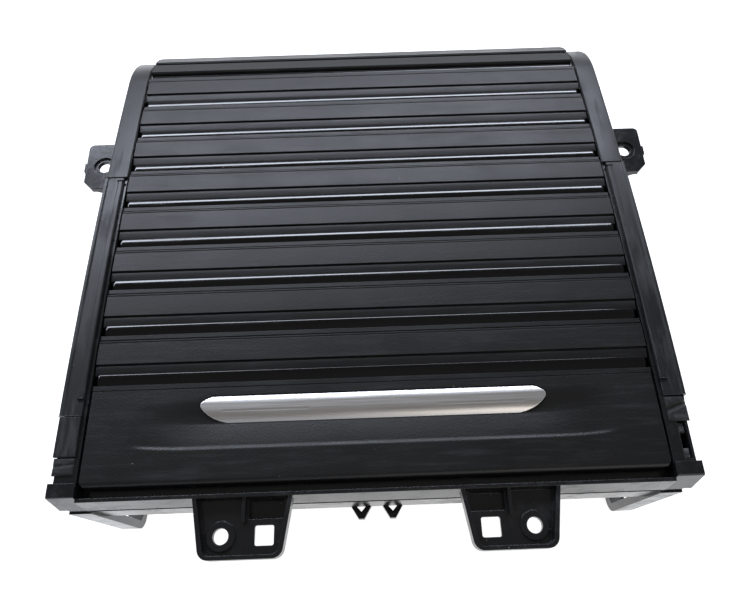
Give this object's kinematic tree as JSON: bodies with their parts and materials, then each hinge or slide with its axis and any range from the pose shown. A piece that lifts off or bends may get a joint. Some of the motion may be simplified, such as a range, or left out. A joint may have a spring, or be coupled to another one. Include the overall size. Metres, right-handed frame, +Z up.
{
  "type": "sliding console tambour cover",
  "caption": "Slatted sliding cover for a vehicle centre console, with a handle strip, side tracks, a front wall with mounting tabs, and side ears.",
  "frame": {"origin": "centre of the bounding box in plan, at the level of the surface that the cheeks stand on", "axes": "+X to the right, +Y from the front wall and its tabs to the rear bend, +Z up"},
  "size_m": [0.2328, 0.2282, 0.0722],
  "materials": {
    "grained_black": "fine moulded grain, matt black",
    "gloss_web": "smooth glossy black",
    "satin_aluminium": "satin brushed along its length",
    "slide_plastic": "smooth low-friction plastic",
    "soft_rubber": "soft black rubber",
    "foam_pad": "grey-black foam",
    "zinc_screw": "zinc-plated steel",
    "satin_black": "satin black",
    "frame_black": "semi-gloss moulded black"
  },
  "bodies": {
    "frame": {"left_cheek": "frame_black", "right_cheek": "frame_black", "front_wall": "frame_black", "left_rear_cap": "satin_black", "right_rear_cap": "satin_black", "left_front_cap": "satin_black", "right_front_cap": "satin_black", "left_corner_block": "frame_black", "right_corner_block": "frame_black", "left_catch_loop": "frame_black", "right_catch_loop": "frame_black", "rear_tie_bar": "frame_black", "frame_screws": "zinc_screw", "left_end_block": "satin_black", "left_bumper": "soft_rubber", "right_bumper": "soft_rubber", "recess_pad_front": "foam_pad", "recess_pad_rear": "foam_pad"},
    "curtain": {"front_panel": "grained_black", "handle_strip": "satin_aluminium", "left_front_shoe": "slide_plastic", "right_front_shoe": "slide_plastic", "left_rear_shoe": "slide_plastic", "right_rear_shoe": "slide_plastic", "web_1": "gloss_web", "web_2": "gloss_web", "web_3": "gloss_web", "web_4": "gloss_web", "web_5": "gloss_web", "web_6": "gloss_web", "web_7": "gloss_web", "web_8": "gloss_web", "slat_1": "grained_black", "slat_2": "grained_black", "slat_3": "grained_black", "slat_4": "grained_black", "slat_5": "grained_black", "slat_6": "grained_black", "slat_7": "grained_black", "slat_8": "grained_black", "tail_web_1": "gloss_web"},
    "tail_1": {"tail_strip_1": "grained_black", "tail_web_2": "gloss_web"},
    "tail_2": {"tail_strip_2": "grained_black", "tail_web_3": "gloss_web"},
    "tail_3": {"tail_strip_3": "grained_black"}
  },
  "joints": [
    {"name": "cover_slide", "type": "hinge", "parent": "frame", "child": "curtain", "pos_m": [0, -0.08978, -1.279], "axis": [-1, 0, 0], "range_deg": [0, 5.94]},
    {"name": "tail_1_flex", "type": "hinge", "parent": "curtain", "child": "tail_1", "pos_m": [0, 0.09385, 0.05685], "axis": [-1, 0, 0], "range_deg": [-8.91, 0]},
    {"name": "tail_2_flex", "type": "hinge", "parent": "tail_1", "child": "tail_2", "pos_m": [0, 0.10233, 0.05432], "axis": [-1, 0, 0], "range_deg": [-8.91, 0]},
    {"name": "tail_3_flex", "type": "hinge", "parent": "tail_2", "child": "tail_3", "pos_m": [0, 0.10986, 0.04923], "axis": [-1, 0, 0], "range_deg": [-8.91, 0]}
  ],
  "couplings": [
    {"joint": "tail_1_flex", "follows": "cover_slide", "ratio": -1.5},
    {"joint": "tail_2_flex", "follows": "cover_slide", "ratio": -1.5},
    {"joint": "tail_3_flex", "follows": "cover_slide", "ratio": -1.5}
  ]
}
